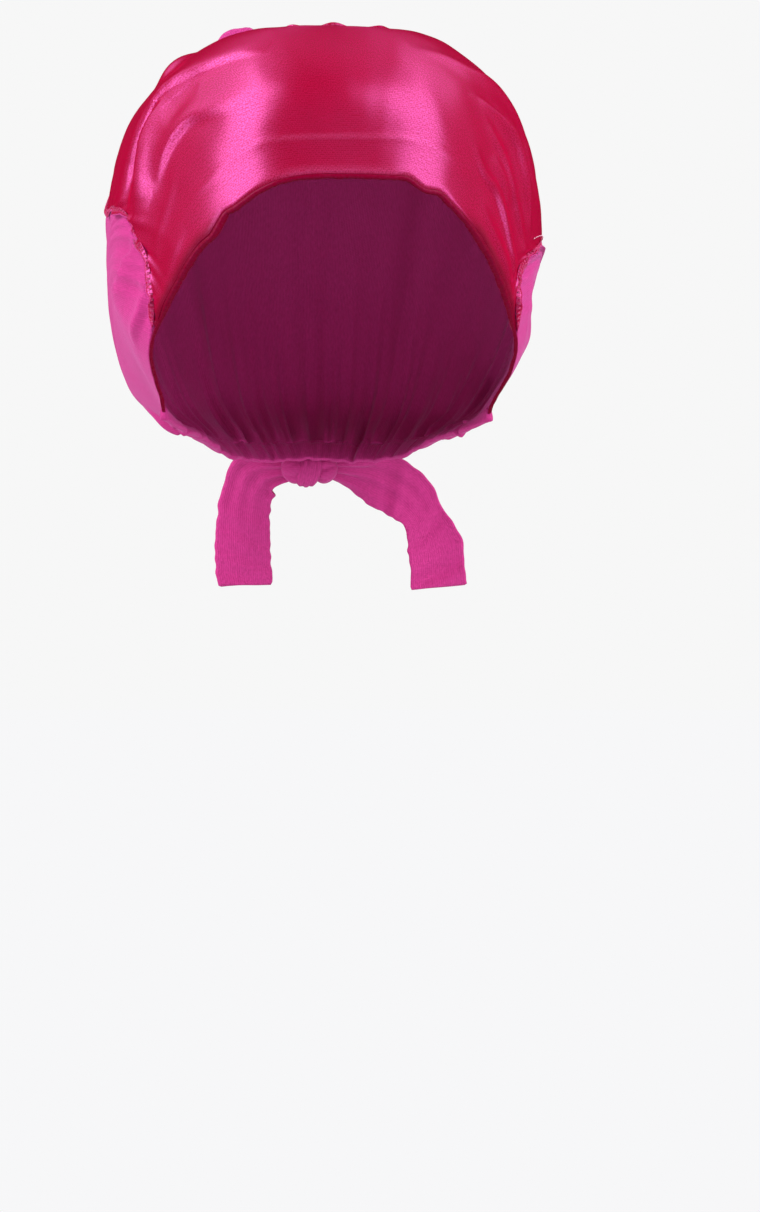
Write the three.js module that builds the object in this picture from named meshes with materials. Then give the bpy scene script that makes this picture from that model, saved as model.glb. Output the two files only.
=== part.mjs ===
// A tie-back satin underscarf: the close cap worn under a headscarf, in the shape it takes on a head.
// Millimetres, +Z up. The face opening looks along -Y and +X is the wearer's left.
// The origin is where the top of the head touches the inside of the crown.
import * as THREE from "three";

// Cloth and gaps.
const WALL = 1.4; // thickness of a panel
const GAP = 0.3; // air left between neighbouring pieces
const FACING_DEPTH = 17; // how far the face edge of the satin is turned in
const FACING_WALL = 0.8; // what the turned-in layer adds on the inside
const FACING_STEP = 4; // the length over which that layer runs out

// The crown seam's raw edges stand up as a small frill.
const SEAM_HEIGHT = 3.2;
const SEAM_THICKNESS = 1.8;
const SEAM_RUFFLE = 1.1; // sideways sway of the frill
const SEAM_RUFFLES = 21; // sways from one end to the other
const SEAM_TRIM = 0.02; // the share of the seam left bare at each end
const SEAM_LIFT = 0.5; // from the cloth to the foot of the frill

// The rolled edge round the face.
const BINDING_RADIUS = 1;

// The tunnel along the lower edge, and the ties that leave it at the centre back.
const CASING_HEIGHT = 11; // at the nape
const CASING_FRONT_HEIGHT = 4; // at the front corners
const CASING_TAPER = 0.25; // the share of its length over which each end widens
const CASING_THICKNESS = 2.6;
const CASING_CORNER = 0.07; // the share of the lower edge from a front corner to the nape edge
const KNOT_HALF_WIDTH = 11.5;
const KNOT_HALF_HEIGHT = 8;
const KNOT_RADIUS = 7.5;
const KNOT_WAIST = 0.2; // how much the knot is drawn in at its middle
const KNOT_WAIST_SPREAD = 0.3; // how far along the knot the waist reaches
const KNOT_SEAT = 0.4; // how far the knot's fat ends reach past the tunnel's face at the middle
const TAIL_GAP = 1.4; // from the tip of the knot to the start of a tail
const TAIL_THICKNESS = 1.4;
const TAIL_WIDTH = 22;
const TAIL_PINCH = 0.4; // a tail's width at the knot, as a share of its full width
const TAIL_OPENS = 0.3; // the share of a tail's length over which it widens
const TAIL_CURL = 1.6; // how far a tail's edges curl away from its middle
const TAILS = {
  tie_tail_left: {
    side: 1,
    route: [[27, 81, -169], [43, 85, -179], [51.5, 83, -195], [53.5, 80, -214]],
    wide: [1, 0.1, 0.3],
  },
  tie_tail_right: {
    side: -1,
    route: [[-20, 78.5, -168], [-25, 84, -178], [-26, 85, -195], [-25, 82, -213]],
    wide: [-1, 0.1, 1],
  },
};

// The cap is swept by hoops that run over the head from one lower corner to the other.
// The first hoop is the face edge and the last the nape edge; each row gives the points of
// the wearer's left half as [x, y, z], and top as [y, z] on the middle plane.
const FRONT_CORNER = [63.5, -4, -146]; // where the face edge ends, below the ear
const REAR_CORNER = [57, 14, -151]; // where the nape edge begins
const HOOPS = [
  { top: [-88.5, -60.7], shoulder: [30.8, -85.3, -65], side: [55.3, -67, -87.5], cheek: [70, -37, -121] },
  { top: [-81, -27], shoulder: [36, -74, -31], side: [64, -48, -61], cheek: [77.5, -24, -111] },
  { top: [-46, -3.5], shoulder: [43, -40, -9.5], side: [74, -26, -44], cheek: [82, -8, -103] },
  { top: [-6, 0.5], shoulder: [45.5, -4, -5.5], side: [78.3, 0, -41], cheek: [82.5, 8, -105] },
  { top: [42, -5], shoulder: [45, 38, -12.5], side: [77.5, 30, -46], cheek: [81.5, 26, -111] },
  { top: [88, -34], shoulder: [39, 80, -39], side: [68, 60, -68], cheek: [79, 43, -121] },
  { top: [110, -84], shoulder: [34, 103, -88], side: [61, 80, -104], cheek: [73, 52, -134] },
  { top: [98, -134], shoulder: [28, 92, -135], side: [50, 74, -139], cheek: [62, 43, -147] },
  { top: [71, -156], shoulder: [20, 67, -157], side: [38, 55, -156], cheek: [50, 36, -153.5] },
];

// Places on the cap are [across, back]: across is -1 to 1 along a hoop, and back is 0 to 1 from
// the face edge to the nape. The satin's rear seam leaves the face edge below the temple, climbs
// the side of the head and passes over the crown, a little differently left and right. The jersey
// sewn at a place of the seam ends at its nape place, across the last hoop.
const SEAM = [
  { across: -0.73, back: 0, nape: -0.84 },
  { across: -0.665, back: 0.03, nape: -0.81 },
  { across: -0.628, back: 0.09, nape: -0.78 },
  { across: -0.618, back: 0.15, nape: -0.755 },
  { across: -0.61, back: 0.22, nape: -0.73 },
  { across: -0.61, back: 0.32, nape: -0.7 },
  { across: -0.595, back: 0.44, nape: -0.66 },
  { across: -0.51, back: 0.52, nape: -0.54 },
  { across: -0.34, back: 0.5, nape: -0.36 },
  { across: -0.17, back: 0.43, nape: -0.18 },
  { across: 0, back: 0.395, nape: 0 },
  { across: 0.18, back: 0.41, nape: 0.18 },
  { across: 0.38, back: 0.455, nape: 0.38 },
  { across: 0.55, back: 0.46, nape: 0.56 },
  { across: 0.64, back: 0.41, nape: 0.655 },
  { across: 0.665, back: 0.31, nape: 0.7 },
  { across: 0.648, back: 0.2, nape: 0.735 },
  { across: 0.628, back: 0.11, nape: 0.765 },
  { across: 0.626, back: 0.05, nape: 0.785 },
  { across: 0.665, back: 0.018, nape: 0.81 },
  { across: 0.735, back: 0, nape: 0.84 },
];
const TIP_TRIM = 0.012; // the share of the seam left off at each tip of the satin
const HEM_LEAN = 0.5; // how much closer the satin's columns stand at the middle of the face edge
const JERSEY_BEND = 0.6; // under 1, the jersey's columns turn sideways early on their way back

// The main folds, as lines on the cap with a bump of some half-width and height, lowest at the ends.
const FOLD_TAPER = 0.6;
const FOLDS = [
  { from: [-0.34, 0.42], to: [-0.62, 0.09], width: 8, height: 2.4 },
  { from: [-0.33, 0.2], to: [-0.44, 0.28], width: 8, height: -1.8 },
  { from: [-0.37, 0.16], to: [-0.62, 0.1], width: 7, height: 1.4 },
  { from: [0.28, 0.42], to: [0.62, 0.16], width: 9, height: 1.8 },
  { from: [0.43, 0.15], to: [0.61, 0.08], width: 7, height: 1.4 },
  { from: [-0.24, 0.49], to: [-0.15, 0.52], width: 13, height: 5 },
  { from: [0.11, 0.46], to: [0.18, 0.5], width: 12, height: 3.5 },
  { from: [0.7, 0.44], to: [0.78, 0.28], width: 18, height: -5 },
];

// Gathers above the nape edge.
const NAPE_GATHERS = 9; // waves from the middle to each end
const NAPE_GATHER_HEIGHT = 2.2;
const NAPE_GATHER_REACH = 0.24; // as a share of the way from face edge to nape
const NAPE_HEM = 0.03; // the last stretch, where the tunnel's stitching flattens them
const NAPE_FLATTENING = 0.7;

// Mesh density.
const SEAM_SAMPLES = 42; // columns along the crown seam, shared by both panels
const EDGE_SAMPLES = 5; // columns of the back panel along each bare stretch of the face edge
const FRONT_ROWS = 9;
const BACK_ROWS = 18;
const SEAM_COLUMNS = 105;
const SEAM_ROWS = 1;
const FOLD_SAMPLES = 14;
const BINDING_SIDES = 6;
const BINDING_STEPS = 64;
const CASING_COLUMNS = 56;
const CASING_ROWS = 2;
const KNOT_RINGS = 12;
const KNOT_SIDES = 16;
const TAIL_COLUMNS = 4;
const TAIL_STEPS = 14;

const hoopLines = HOOPS.map((hoop, row) => {
  const share = row / (HOOPS.length - 1);
  const corner = new THREE.Vector3(...FRONT_CORNER).lerp(new THREE.Vector3(...REAR_CORNER), share);
  const left = [hoop.shoulder, hoop.side, hoop.cheek, corner.toArray()];
  const right = left.map(([x, y, z]) => [-x, y, z]).reverse();
  const knots = [...right, [0, ...hoop.top], ...left].map((p) => new THREE.Vector3(...p));
  return new THREE.CatmullRomCurve3(knots, false, "catmullrom");
});

// A point on the smooth cap, before folds.
function smoothPoint(across, back) {
  const rib = hoopLines.map((line) => line.getPoint((across + 1) / 2));
  return new THREE.CatmullRomCurve3(rib, false, "catmullrom").getPoint(back);
}

// Unit directions on the cap: along the hoop, from front to back over the head, and outward.
function directions(across, back) {
  const step = 0.004;
  const a = THREE.MathUtils.clamp(across, -1 + step, 1 - step);
  const b = THREE.MathUtils.clamp(back, step, 1 - step);
  const along = smoothPoint(a + step, b).sub(smoothPoint(a - step, b)).normalize();
  const over = smoothPoint(a, b + step).sub(smoothPoint(a, b - step)).normalize();
  const out = along.clone().cross(over).normalize();
  return { along, over, out };
}

const mix = (a, b, share) => [a[0] + (b[0] - a[0]) * share, a[1] + (b[1] - a[1]) * share];

// A line drawn on the cap from a function that gives [across, back] for 0 to 1.
class CapLine extends THREE.Curve {
  constructor(place) {
    super();
    this.place = place;
    this.arcLengthDivisions = 400;
  }
  getPoint(t) {
    return smoothPoint(...this.place(t));
  }
  // [across, back] at a share of the line's real length.
  spaced(share) {
    return this.place(this.getUtoTmapping(share));
  }
}

const seamSpline = new THREE.CatmullRomCurve3(
  SEAM.map(({ across, back, nape }) => new THREE.Vector3(across, back, nape)),
  false,
  "catmullrom",
);
const seamLine = new CapLine((t) => seamSpline.getPoint(t).toArray().slice(0, 2));
const leftTip = seamLine.place(0);
const rightTip = seamLine.place(1);
const satinEdge = new CapLine((t) => mix(leftTip, rightTip, t));
const faceEdge = new CapLine((t) => [2 * t - 1, 0]);

const foldLines = FOLDS.map(({ from, to, width, height }) => {
  const points = Array.from({ length: FOLD_SAMPLES + 1 }, (_, k) =>
    smoothPoint(...mix(from, to, k / FOLD_SAMPLES)),
  );
  return { points, width, height };
});

function foldHeight(point, { points, width, height }) {
  let best = 0;
  points.forEach((sample, k) => {
    const ends = Math.sin((Math.PI * (k + 0.5)) / points.length) ** FOLD_TAPER;
    best = Math.max(best, ends * Math.exp(-((point.distanceTo(sample) / width) ** 2)));
  });
  return height * best;
}

// How far the cloth stands off the smooth cap.
function relief(across, back) {
  const point = smoothPoint(across, back);
  const folds = foldLines.reduce((sum, fold) => sum + foldHeight(point, fold), 0);

  const rise = THREE.MathUtils.smoothstep(back, 1 - NAPE_GATHER_REACH, 1 - NAPE_HEM);
  const press = 1 - NAPE_FLATTENING * THREE.MathUtils.smoothstep(back, 1 - NAPE_HEM, 1);
  const wave = Math.sin(across * NAPE_GATHERS * 2 * Math.PI);
  return folds + NAPE_GATHER_HEIGHT * rise * press * wave;
}

function clothPoint(across, back, offset) {
  const { out } = directions(across, back);
  return smoothPoint(across, back).addScaledVector(out, relief(across, back) + offset);
}

// A closed wall between an outer and an inner sheet, each a grid of points.
function wallGeometry(columns, rows, outerPoint, innerPoint) {
  const positions = [];
  for (const sheet of [outerPoint, innerPoint]) {
    for (let i = 0; i <= columns; i++) {
      for (let j = 0; j <= rows; j++) positions.push(...sheet(i, j).toArray());
    }
  }
  const sheetSize = (columns + 1) * (rows + 1);
  const at = (sheet, i, j) => sheet * sheetSize + i * (rows + 1) + j;
  const faces = [];
  const quad = (a, b, c, d) => faces.push(a, b, c, a, c, d);
  for (let i = 0; i < columns; i++) {
    for (let j = 0; j < rows; j++) {
      quad(at(0, i, j), at(0, i + 1, j), at(0, i + 1, j + 1), at(0, i, j + 1));
      quad(at(1, i, j), at(1, i, j + 1), at(1, i + 1, j + 1), at(1, i + 1, j));
    }
    quad(at(0, i, 0), at(1, i, 0), at(1, i + 1, 0), at(0, i + 1, 0));
    quad(at(0, i, rows), at(0, i + 1, rows), at(1, i + 1, rows), at(1, i, rows));
  }
  for (let j = 0; j < rows; j++) {
    quad(at(0, 0, j), at(0, 0, j + 1), at(1, 0, j + 1), at(1, 0, j));
    quad(at(0, columns, j), at(1, columns, j), at(1, columns, j + 1), at(0, columns, j + 1));
  }
  const geometry = new THREE.BufferGeometry();
  geometry.setAttribute("position", new THREE.Float32BufferAttribute(positions, 3));
  geometry.setIndex(faces);
  geometry.computeVertexNormals();
  return geometry;
}

// A panel of cloth. Each column runs from a front place to a rear place on the cap, stopping short
// by trims at the ends that meet another piece. With a bend other than 1 a column isn't straight.
function panelGeometry({ columns, rows, frontPlace, rearPlace, trims, bend, extraInside }) {
  const ends = Array.from({ length: columns + 1 }, (_, i) => {
    const front = frontPlace(i);
    const rear = rearPlace(i);
    const length = smoothPoint(...front).distanceTo(smoothPoint(...rear));
    return { front, rear, length };
  });
  const placeOf = (i, j) => {
    const { front, rear, length } = ends[i];
    const start = trims.front / length;
    const share = start + (1 - start - trims.rear / length) * (j / rows);
    const across = THREE.MathUtils.lerp(front[0], rear[0], share ** bend);
    const back = THREE.MathUtils.lerp(front[1], rear[1], share);
    return { place: [across, back], fromFront: share * length };
  };
  const outer = (i, j) => clothPoint(...placeOf(i, j).place, WALL / 2);
  const inner = (i, j) => {
    const { place, fromFront } = placeOf(i, j);
    return clothPoint(...place, -WALL / 2 - extraInside(fromFront));
  };
  return wallGeometry(columns, rows, outer, inner);
}

function seamShare(i) {
  return TIP_TRIM + (1 - 2 * TIP_TRIM) * (i / SEAM_SAMPLES);
}

// The crescent of satin. It ends just inside its two points, where it is too narrow to sew.
function frontPanelGeometry() {
  const hemShare = (share) => share + (HEM_LEAN * Math.sin(2 * Math.PI * share)) / (2 * Math.PI);
  return panelGeometry({
    columns: SEAM_SAMPLES,
    rows: FRONT_ROWS,
    frontPlace: (i) => satinEdge.spaced(hemShare(seamShare(i))),
    rearPlace: (i) => seamLine.spaced(seamShare(i)),
    trims: { front: 0, rear: GAP },
    bend: 1,
    extraInside: (fromFront) =>
      FACING_WALL * THREE.MathUtils.smoothstep(FACING_DEPTH - fromFront, 0, FACING_STEP),
  });
}

// The jersey: its front edge follows the bare face edge, the crown seam and the other bare edge.
function backPanelGeometry() {
  const columns = SEAM_SAMPLES + 2 * EDGE_SAMPLES;
  const bareEdge = (corner, tip, nape, share) => ({
    front: mix([corner, 0], tip, share),
    rear: mix([corner, 1], [nape, 1], share),
  });
  const ends = (i) => {
    if (i < EDGE_SAMPLES) return bareEdge(-1, leftTip, SEAM[0].nape, i / EDGE_SAMPLES);
    if (i > columns - EDGE_SAMPLES) {
      return bareEdge(1, rightTip, SEAM.at(-1).nape, (columns - i) / EDGE_SAMPLES);
    }
    const { x, y, z } = seamSpline.getPoint(seamLine.getUtoTmapping(seamShare(i - EDGE_SAMPLES)));
    return { front: [x, y], rear: [z, 1] };
  };
  return panelGeometry({
    columns,
    rows: BACK_ROWS,
    frontPlace: (i) => ends(i).front,
    rearPlace: (i) => ends(i).rear,
    trims: { front: GAP, rear: 0 },
    bend: JERSEY_BEND,
    extraInside: () => 0,
  });
}

// The seam's raw edges: a thin strip that stands on the cap along the seam and sways as it goes.
function crownSeamGeometry() {
  const strip = (side) => (i, j) => {
    const share = SEAM_TRIM + (1 - 2 * SEAM_TRIM) * (i / SEAM_COLUMNS);
    const t = seamLine.getUtoTmapping(share);
    const place = seamLine.place(t);
    const { out } = directions(...place);
    const sideways = seamLine.getTangent(t).cross(out).normalize();
    const up = j / SEAM_ROWS;
    const sway = SEAM_RUFFLE * up * Math.sin(share * SEAM_RUFFLES * 2 * Math.PI);
    return clothPoint(...place, WALL / 2 + SEAM_LIFT + SEAM_HEIGHT * up)
      .addScaledVector(sideways, sway + (side * SEAM_THICKNESS) / 2);
  };
  return wallGeometry(SEAM_COLUMNS, SEAM_ROWS, strip(1), strip(-1));
}

// The rolled edge runs just ahead of the panels' front edges.
function faceBindingGeometry() {
  const points = Array.from({ length: BINDING_STEPS + 1 }, (_, k) => {
    const t = faceEdge.getUtoTmapping(k / BINDING_STEPS);
    const place = faceEdge.place(t);
    const { out } = directions(...place);
    const ahead = faceEdge.getTangent(t).cross(out);
    return clothPoint(...place, -FACING_WALL / 2).addScaledVector(ahead, BINDING_RADIUS + GAP);
  });
  const section = new THREE.Shape(
    Array.from({ length: BINDING_SIDES }, (_, k) => {
      const angle = (2 * Math.PI * k) / BINDING_SIDES;
      return new THREE.Vector2(BINDING_RADIUS * Math.cos(angle), BINDING_RADIUS * Math.sin(angle));
    }),
  );
  const path = new THREE.CatmullRomCurve3(points);
  return new THREE.ExtrudeGeometry(section, {
    steps: BINDING_STEPS,
    extrudePath: path,
    bevelEnabled: false,
  });
}

// The tunnel follows the lower edge from one front corner, round the nape, to the other.
function casingPlace(t) {
  if (t < CASING_CORNER) return [-1, t / CASING_CORNER];
  if (t > 1 - CASING_CORNER) return [1, (1 - t) / CASING_CORNER];
  return [(2 * (t - CASING_CORNER)) / (1 - 2 * CASING_CORNER) - 1, 1];
}

function napeCasingGeometry() {
  const edge = new CapLine(casingPlace);
  const sheet = (side) => (i, j) => {
    const t = edge.getUtoTmapping(i / CASING_COLUMNS);
    const place = edge.place(t);
    const { out } = directions(...place);
    const away = out.clone().cross(edge.getTangent(t)).normalize();
    const full = THREE.MathUtils.smoothstep(Math.min(t, 1 - t), 0, CASING_TAPER);
    const height = THREE.MathUtils.lerp(CASING_FRONT_HEIGHT, CASING_HEIGHT, full);
    const down = WALL / 2 + GAP + height * (j / CASING_ROWS);
    return smoothPoint(...place)
      .addScaledVector(away, down)
      .addScaledVector(out, (side * CASING_THICKNESS) / 2);
  };
  return wallGeometry(CASING_COLUMNS, CASING_ROWS, sheet(1), sheet(-1));
}

// The knot is a fat roll across the nape, drawn in at its middle.
function tieKnotGeometry() {
  const profile = Array.from({ length: KNOT_RINGS + 1 }, (_, k) => {
    const angle = (Math.PI * k) / KNOT_RINGS;
    const waist = 1 - KNOT_WAIST * Math.exp(-((Math.cos(angle) / KNOT_WAIST_SPREAD) ** 2));
    return new THREE.Vector2(KNOT_RADIUS * Math.sin(angle) * waist, -KNOT_HALF_WIDTH * Math.cos(angle));
  });
  profile[0].x = 0;
  profile[KNOT_RINGS].x = 0;
  const geometry = new THREE.LatheGeometry(profile, KNOT_SIDES);
  geometry.rotateZ(Math.PI / 2);
  geometry.scale(1, 1, KNOT_HALF_HEIGHT / KNOT_RADIUS);
  return geometry;
}

// A flat tie along its route, narrow at the knot and curled a little across its width.
function tieTailGeometry({ side, route, wide }, knotCentre) {
  const start = knotCentre.clone().setX(side * (KNOT_HALF_WIDTH + TAIL_GAP));
  const path = new THREE.CatmullRomCurve3([start, ...route.map((p) => new THREE.Vector3(...p))]);
  const across = new THREE.Vector3(...wide).normalize();
  const sheet = (face) => (i, j) => {
    const share = j / TAIL_STEPS;
    const tangent = path.getTangentAt(share);
    const edgeward = across.clone().addScaledVector(tangent, -across.dot(tangent)).normalize();
    const out = tangent.clone().cross(edgeward);
    const from = (2 * i) / TAIL_COLUMNS - 1;
    const open = THREE.MathUtils.lerp(TAIL_PINCH, 1, Math.min(1, share / TAIL_OPENS));
    return path
      .getPointAt(share)
      .addScaledVector(edgeward, (from * open * TAIL_WIDTH) / 2)
      .addScaledVector(out, TAIL_CURL * (open * from) ** 2 + (face * TAIL_THICKNESS) / 2);
  };
  return wallGeometry(TAIL_COLUMNS, TAIL_STEPS, sheet(-1), sheet(1));
}

function mesh(name, geometry, material) {
  const made = new THREE.Mesh(geometry, material);
  made.name = name;
  return made;
}

const satin = new THREE.MeshStandardMaterial({ color: 0xb4003c, roughness: 0.35, metalness: 0 });
const jersey = new THREE.MeshStandardMaterial({ color: 0xd640a0, roughness: 0.8, metalness: 0 });

const underscarf = new THREE.Group();
underscarf.add(mesh("front_panel", frontPanelGeometry(), satin));
underscarf.add(mesh("back_panel", backPanelGeometry(), jersey));
underscarf.add(mesh("crown_seam", crownSeamGeometry(), jersey));
underscarf.add(mesh("face_binding", faceBindingGeometry(), satin));
underscarf.add(mesh("nape_casing", napeCasingGeometry(), jersey));

// The knot lies on the outside of the tunnel, at the middle of its height.
const knot = mesh("tie_knot", tieKnotGeometry(), jersey);
const nape = directions(0, 1);
knot.position
  .copy(smoothPoint(0, 1))
  .addScaledVector(nape.over, CASING_HEIGHT / 2)
  .addScaledVector(nape.out, CASING_THICKNESS / 2 + KNOT_RADIUS - KNOT_SEAT);
underscarf.add(knot);
for (const [name, tail] of Object.entries(TAILS)) {
  underscarf.add(mesh(name, tieTailGeometry(tail, knot.position), jersey));
}

export default underscarf;
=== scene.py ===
# The looks of a tie-back satin underscarf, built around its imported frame.
# Lengths are millimetres until a mesh is made. +Z is up, the face opening looks along -Y,
# and +X is the wearer's left.
import math

import bmesh
import bpy
import numpy as np
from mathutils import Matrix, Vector


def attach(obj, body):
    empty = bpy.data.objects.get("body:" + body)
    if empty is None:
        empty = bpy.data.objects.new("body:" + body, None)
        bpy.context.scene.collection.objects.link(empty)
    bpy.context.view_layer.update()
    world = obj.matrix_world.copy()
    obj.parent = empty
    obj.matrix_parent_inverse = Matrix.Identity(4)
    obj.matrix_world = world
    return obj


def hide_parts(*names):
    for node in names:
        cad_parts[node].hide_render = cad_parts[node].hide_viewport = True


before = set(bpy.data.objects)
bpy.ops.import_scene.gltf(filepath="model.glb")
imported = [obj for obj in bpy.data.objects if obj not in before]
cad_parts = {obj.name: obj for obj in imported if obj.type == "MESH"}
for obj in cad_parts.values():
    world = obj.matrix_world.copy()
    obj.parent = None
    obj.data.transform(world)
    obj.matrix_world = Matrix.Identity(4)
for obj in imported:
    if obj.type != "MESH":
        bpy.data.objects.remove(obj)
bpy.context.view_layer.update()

MM = 0.001
FULL_TURN = 2 * math.pi

# Cloth and gaps, as in the frame.
WALL = 1.4
GAP = 0.3
THINNER = 0.3  # how much the visible cloth is thinner than the frame's wall, on the inside
FACING_DEPTH = 17
FACING_WALL = 0.8
FACING_STEP = 4
TIP_TRIM = 0.012
HEM_LEAN = 0.5
JERSEY_BEND = 0.6


def table(columns, rows):
    return [dict(zip(columns, row)) for row in rows]


# The hoops over the crown from the face edge to the nape edge, each by the points of its left half.
FRONT_CORNER = (63.5, -4, -146)
REAR_CORNER = (57, 14, -151)
HOOPS = table(
    ("top", "shoulder", "side", "cheek"),
    [
        ((0, -88.5, -60.7), (30.8, -85.3, -65), (55.3, -67, -87.5), (70, -37, -121)),
        ((0, -81, -27), (36, -74, -31), (64, -48, -61), (77.5, -24, -111)),
        ((0, -46, -3.5), (43, -40, -9.5), (74, -26, -44), (82, -8, -103)),
        ((0, -6, 0.5), (45.5, -4, -5.5), (78.3, 0, -41), (82.5, 8, -105)),
        ((0, 42, -5), (45, 38, -12.5), (77.5, 30, -46), (81.5, 26, -111)),
        ((0, 88, -34), (39, 80, -39), (68, 60, -68), (79, 43, -121)),
        ((0, 110, -84), (34, 103, -88), (61, 80, -104), (73, 52, -134)),
        ((0, 98, -134), (28, 92, -135), (50, 74, -139), (62, 43, -147)),
        ((0, 71, -156), (20, 67, -157), (38, 55, -156), (50, 36, -153.5)),
    ],
)

# The crown seam, as places on the cap: across is -1 to 1 along a hoop and back is 0 to 1 from the
# face edge to the nape. The jersey sewn there ends at the nape place across the last hoop.
SEAM = table(
    ("across", "back", "nape"),
    [
        (-0.73, 0, -0.84),
        (-0.665, 0.03, -0.81),
        (-0.628, 0.09, -0.78),
        (-0.618, 0.15, -0.755),
        (-0.61, 0.22, -0.73),
        (-0.61, 0.32, -0.7),
        (-0.595, 0.44, -0.66),
        (-0.51, 0.52, -0.54),
        (-0.34, 0.5, -0.36),
        (-0.17, 0.43, -0.18),
        (0, 0.395, 0),
        (0.18, 0.41, 0.18),
        (0.38, 0.455, 0.38),
        (0.55, 0.46, 0.56),
        (0.64, 0.41, 0.655),
        (0.665, 0.31, 0.7),
        (0.648, 0.2, 0.735),
        (0.628, 0.11, 0.765),
        (0.626, 0.05, 0.785),
        (0.665, 0.018, 0.81),
        (0.735, 0, 0.84),
    ],
)

# The folds, as routes over the cap. A fold is this high, and its two slopes are this wide: the
# front one falls towards the face edge and the rear one towards the nape. A valley is below zero.
FOLDS = table(
    ("height", "front", "rear", "route"),
    [
        # The pleat on the wearer's right, where the satin in front lies over a puff behind it.
        (2.6, 1.8, 9.0,
         [(-0.16, 0.19), (-0.23, 0.203), (-0.3, 0.22), (-0.4, 0.262), (-0.47, 0.262), (-0.55, 0.25)]),
        (3.2, 9.0, 1.3,
         [(-0.4, 0.25), (-0.478, 0.238), (-0.51, 0.22), (-0.54, 0.205), (-0.58, 0.18), (-0.63, 0.163)]),
        (-1.0, 8.0, 2.0, [(-0.33, 0.205), (-0.37, 0.216), (-0.43, 0.228)]),
        (-2.8, 2.4, 3.6, [(-0.42, 0.262), (-0.51, 0.248), (-0.565, 0.24), (-0.61, 0.22)]),
        (2.8, 4.0, 7.0, [(-0.28, 0.365), (-0.33, 0.352), (-0.39, 0.33)]),
        (-2.6, 12.0, 7.0, [(-0.28, 0.41), (-0.2, 0.39), (-0.11, 0.37)]),
        # The second ridge on the wearer's right and the long dim folds below it.
        (2.0, 2.6, 7.0, [(-0.25, 0.112), (-0.335, 0.14), (-0.395, 0.163), (-0.46, 0.165), (-0.53, 0.15)]),
        (0.4, 2.6, 3.0, [(-0.47, 0.125), (-0.52, 0.1), (-0.58, 0.086), (-0.62, 0.07)]),
        (0.6, 3.0, 5.0, [(-0.5, 0.04), (-0.57, 0.03), (-0.64, 0.012)]),
        # The wearer's left: the ridge near the outline, the edge of the front layer and the streaks.
        (2.0, 4.0, 4.0, [(0.17, 0.2), (0.3, 0.22), (0.39, 0.27), (0.45, 0.3), (0.5, 0.3)]),
        (2.5, 4.0, 1.2, [(0.34, 0.18), (0.44, 0.206), (0.5, 0.208), (0.565, 0.19), (0.62, 0.165)]),
        (1.5, 3.2, 4.0, [(0.43, 0.212), (0.48, 0.23), (0.53, 0.23)]),
        (-3.0, 4.0, 6.0, [(0.45, 0.25), (0.5, 0.255), (0.56, 0.26), (0.61, 0.26)]),
        (1.9, 1.9, 3.4,
         [(0.36, 0.1), (0.417, 0.081), (0.472, 0.083), (0.525, 0.07), (0.6, 0.048), (0.635, 0.04)]),
        (1.9, 2.0, 3.0,
         [(0.39, 0.16), (0.43, 0.152), (0.472, 0.145), (0.518, 0.128), (0.573, 0.12), (0.627, 0.113)]),
        (1.5, 3.6, 4.0, [(0.43, 0.125), (0.48, 0.118), (0.53, 0.1)]),
        (1.4, 2.2, 4.0, [(0.42, 0.04), (0.472, 0.028), (0.562, 0.022), (0.64, 0.012)]),
        # The jersey: puffs behind the crown seam, creases at the sides and a hollow on the left.
        (10.0, 5.0, 15.0, [(-0.225, 0.47), (-0.17, 0.462), (-0.11, 0.452)]),
        (6.0, 5.0, 12.0, [(0.09, 0.463), (0.14, 0.466), (0.19, 0.475)]),
        (-5.5, 11.0, 11.0, [(0.72, 0.08), (0.755, 0.25), (0.775, 0.4), (0.79, 0.56)]),
        (3.4, 7.0, 1.8, [(-0.625, 0.16), (-0.66, 0.163), (-0.7, 0.18), (-0.765, 0.26)]),
        (2.7, 1.8, 4.5, [(-0.652, 0.068), (-0.718, 0.062), (-0.807, 0.105)]),
        (1.3, 4.0, 5.0, [(0.66, 0.13), (0.74, 0.13), (0.86, 0.2)]),
    ],
)
FOLD_TAPER = 0.85
FOLD_SAMPLES = 41

# Dips and rises of the face edge itself, by place, reach across and depth towards the face.
HEM_WAVES = table(
    ("across", "reach", "ahead"),
    [
        (-0.445, 0.026, 1.5),
        (-0.385, 0.022, -1.3),
        (0.17, 0.03, -0.9),
        (0.235, 0.028, 1.3),
        (0.3, 0.03, -0.8),
    ],
)
HEM_WAVE_REACH = 0.06

# Gathers and puckers.
NAPE_GATHER_HEIGHT = 1.9
NAPE_GATHER_REACH = 0.3
NAPE_HEM = 0.03
NAPE_FLATTENING = 0.6
SATIN_PUCKER = 0.55
SATIN_PUCKER_REACH = 9
JERSEY_PUCKER = 1.1
JERSEY_PUCKER_REACH = 17
DRAPE_HEIGHT = 1.2
BROAD_LUMPS = 0.12
SMALL_LUMPS = 0.05


def smoothstep(x, low, high):
    t = np.clip((np.asarray(x, float) - low) / (high - low), 0, 1)
    return t * t * (3 - 2 * t)


def mix(a, b, share):
    return a + (b - a) * share


def unit(vectors):
    return vectors / np.linalg.norm(vectors, axis=-1, keepdims=True)


def dot(a, b):
    return (a * b).sum(-1, keepdims=True)


def heading(points):
    """The unit direction of a line at each of its points."""
    return unit(np.gradient(points, axis=0))


def hill(distance, reach, power=2):
    """1 at no distance, which falls to 0 over a few reaches."""
    return np.exp(-((distance / reach) ** power))


def around(count):
    """Angles that divide a full turn evenly."""
    return np.arange(count) * FULL_TURN / count


def pressed(wave, power):
    """A sine or cosine with its sign kept and its size raised to a power."""
    return np.sign(wave) * np.abs(wave) ** power


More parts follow.
